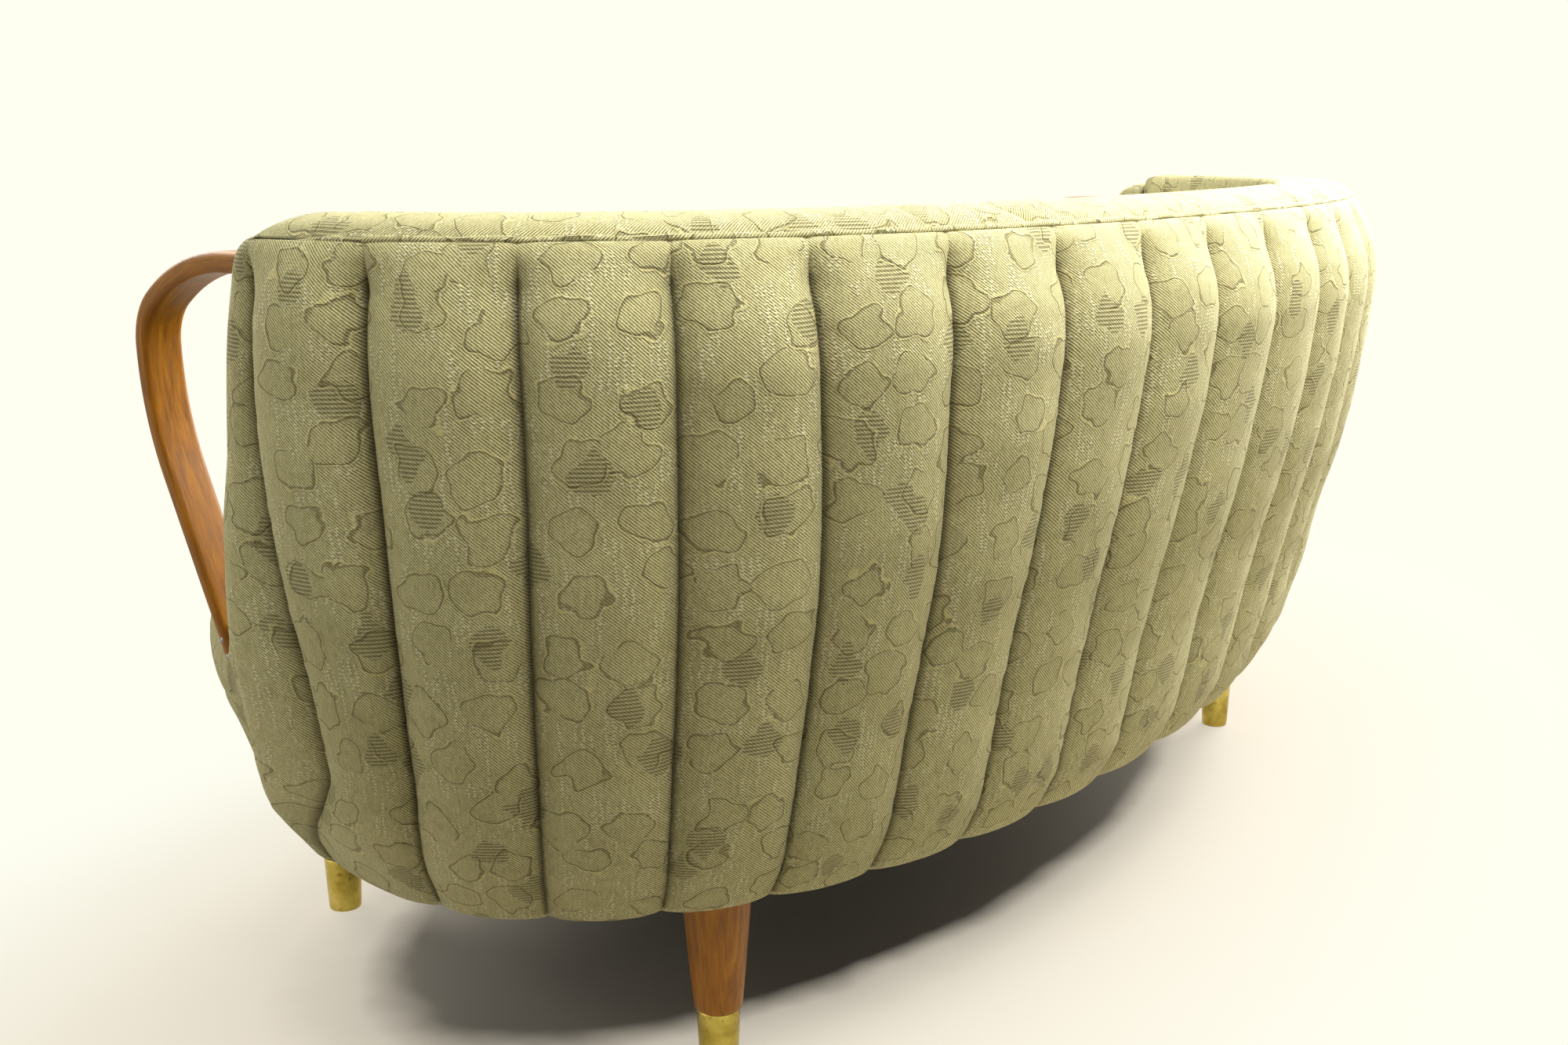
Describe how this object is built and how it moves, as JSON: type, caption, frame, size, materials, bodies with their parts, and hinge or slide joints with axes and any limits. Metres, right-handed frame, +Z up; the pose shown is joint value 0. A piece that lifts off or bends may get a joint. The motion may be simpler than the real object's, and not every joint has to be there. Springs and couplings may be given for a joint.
{
  "type": "curved sofa",
  "caption": "Curved two-place sofa with a channelled wrap-round back, one seat, bent wooden arms in the open front corners, turned wooden legs and metal ferrules.",
  "frame": {"origin": "on the floor, under the middle of the whole sofa's outline", "axes": "+X to the sitter's left along the sofa, -Y towards the open front, +Z up"},
  "size_m": [1.725, 0.9049, 0.769],
  "materials": {
    "fabric": "sage and beige jacquard upholstery",
    "honey_wood": "satin honey-brown lacquer",
    "brass": "aged, softly polished",
    "frame_timber": "plain sawn timber",
    "steel": "plain",
    "jute_webbing": "woven jute strap",
    "hessian": "open plain weave",
    "dust_cloth": "thin black lining"
  },
  "bodies": {
    "root": {"outer_back": "fabric", "back_pad_centre": "fabric", "back_pad_left": "fabric", "back_pad_right": "fabric", "seat_pad": "fabric", "front_border": "fabric", "arm_left": "honey_wood", "arm_right": "honey_wood", "arm_blocks": "frame_timber", "arm_screws": "steel", "leg_front_left": "honey_wood", "leg_front_right": "honey_wood", "leg_rear_left": "honey_wood", "leg_rear_right": "honey_wood", "ferrule_front_left": "brass", "ferrule_front_right": "brass", "ferrule_rear_left": "brass", "ferrule_rear_right": "brass", "rear_rail": "frame_timber", "front_rail": "frame_timber", "wing_blocks": "frame_timber", "cross_rails": "frame_timber", "leg_blocks": "frame_timber", "block_screws": "steel", "back_posts": "frame_timber", "wing_posts": "frame_timber", "top_rail": "frame_timber", "tack_rail": "frame_timber", "back_webbing": "jute_webbing", "seat_webbing_lengthwise": "jute_webbing", "seat_webbing_crosswise": "jute_webbing", "seat_springs": "steel", "spring_cover": "hessian", "dust_cover": "dust_cloth"}
  },
  "joints": []
}
